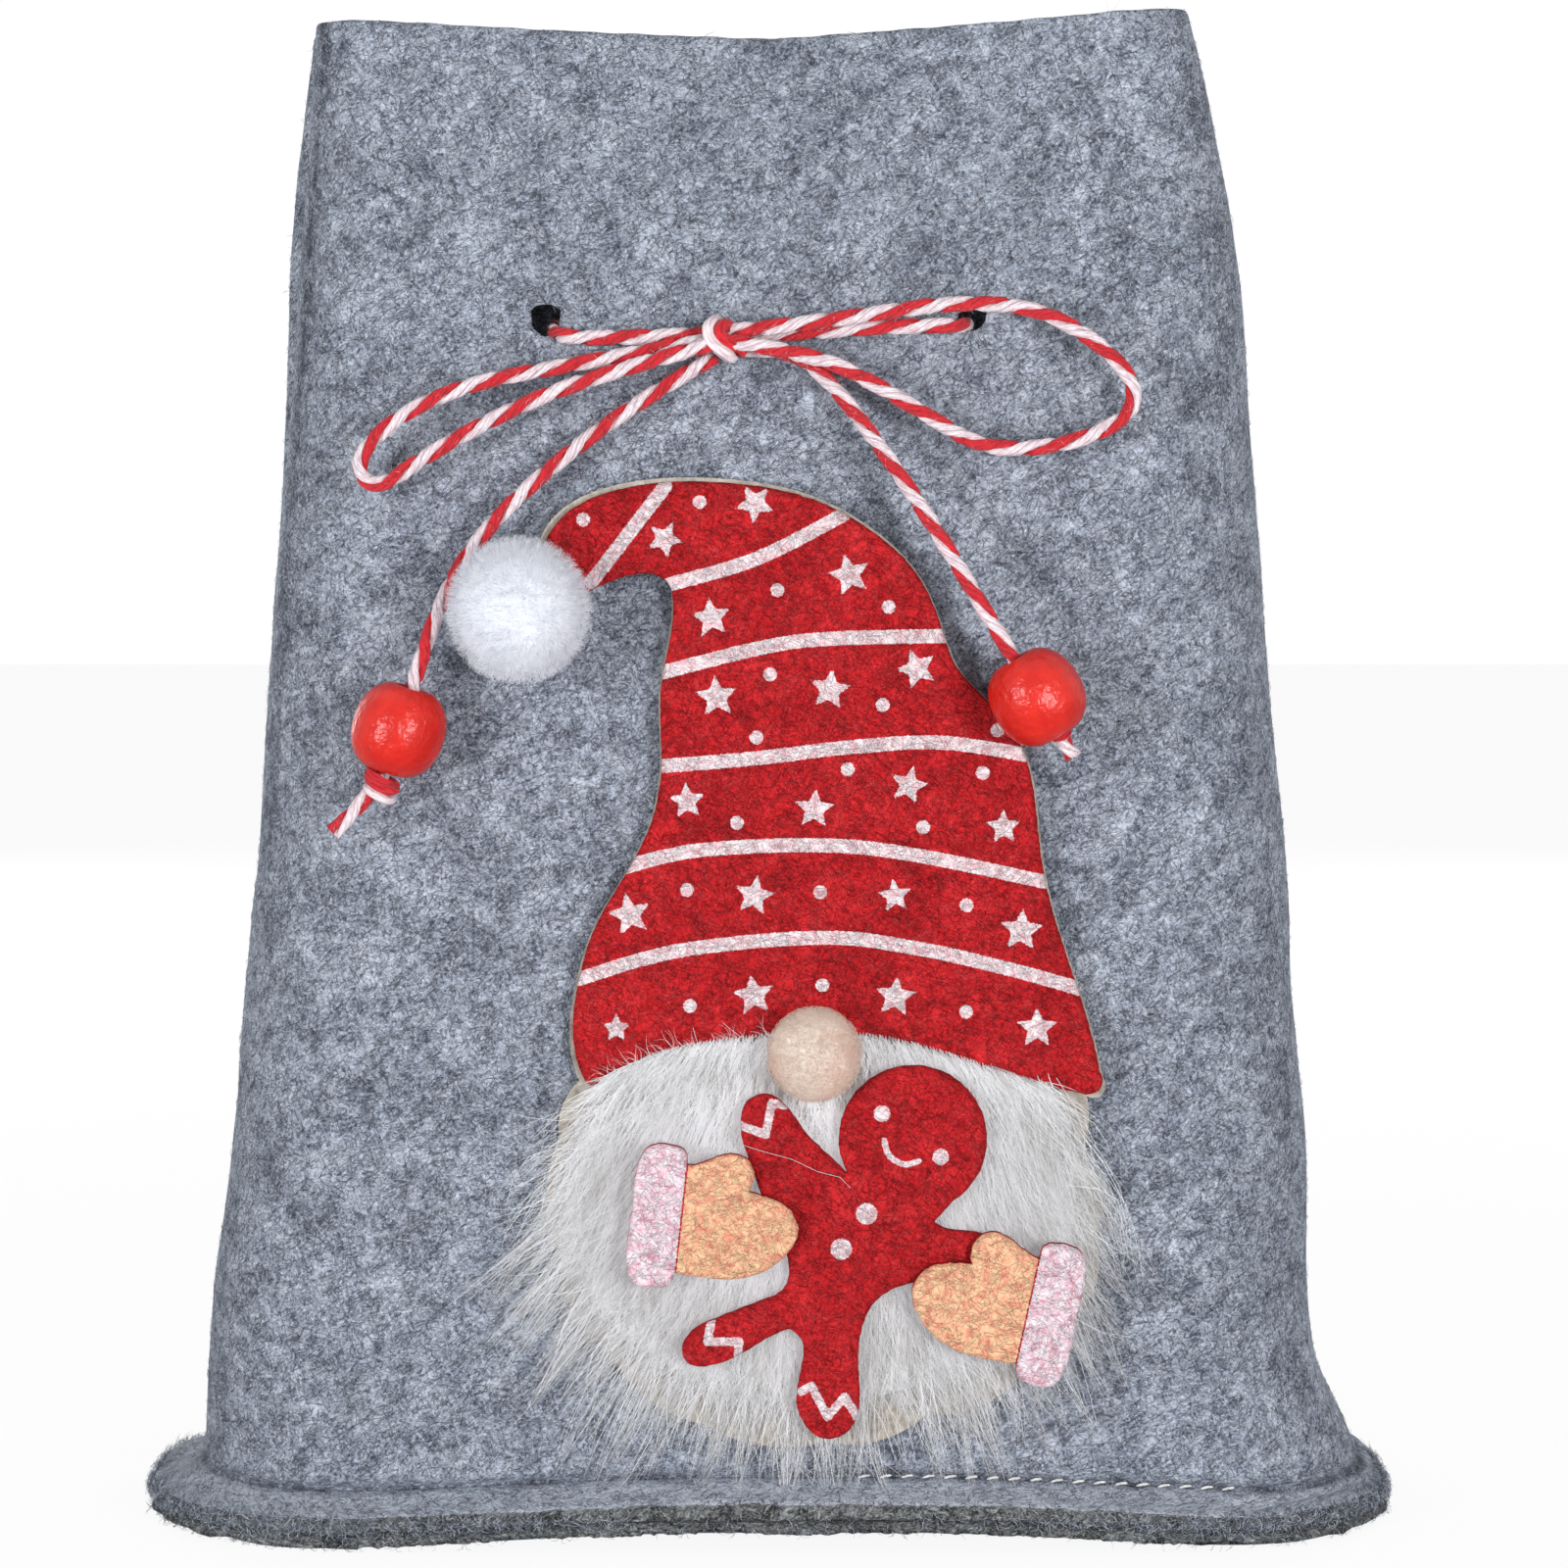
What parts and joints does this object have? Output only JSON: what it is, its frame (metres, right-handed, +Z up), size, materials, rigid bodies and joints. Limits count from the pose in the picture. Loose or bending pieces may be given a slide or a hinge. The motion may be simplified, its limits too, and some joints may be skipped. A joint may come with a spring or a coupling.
{
  "type": "gift bag with gnome",
  "caption": "Upright felt gift bag, open at the top, with a gnome in a tall hooked hat on its front and a bow of twine through its neck that carries sliding beads.",
  "frame": {"origin": "middle of the flat underside of the base, on the surface the bag stands on", "axes": "+Z up the bag, +X to the right when the gnome is looked at, -Y out of the gnome's front"},
  "size_m": [0.178, 0.088, 0.2139],
  "materials": {
    "bag_felt": "mottled needle felt",
    "red_felt": "printed needle felt",
    "fur": "long pile",
    "nose_wool": "rolled wool",
    "pompom_fluff": "short fluff",
    "board": "die-cut card, matte",
    "glue": "hot glue",
    "twine": "two-ply cotton twine, one ply red and one ply white",
    "bead_wood": "gloss paint"
  },
  "bodies": {
    "bag": {"front_panel": "bag_felt", "back_panel": "bag_felt", "base_panel": "bag_felt", "backing_glue": "glue", "gnome_board": "board", "beard": "fur", "hat": "red_felt", "nose": "nose_wool", "pompom": "pompom_fluff", "gingerbread_man": "red_felt", "mitten_left": "red_felt", "mitten_right": "red_felt", "tie_band": "twine", "bow_knot": "twine", "bow_loop_left": "twine", "bow_loop_right": "twine", "tail_left": "twine", "tail_right": "twine", "stopper_knot_left": "twine", "stopper_knot_right": "twine"},
    "bead_left": {"bead_left": "bead_wood"},
    "bead_right": {"bead_right": "bead_wood"}
  },
  "joints": [
    {"name": "bead_left_slide", "type": "slide", "parent": "bag", "child": "bead_left", "axis": [0.31, 0, 0.9507], "range_m": [0, 0.009]},
    {"name": "bead_right_slide", "type": "slide", "parent": "bag", "child": "bead_right", "axis": [-0.518, 0, 0.8554], "range_m": [0, 0.016]}
  ]
}
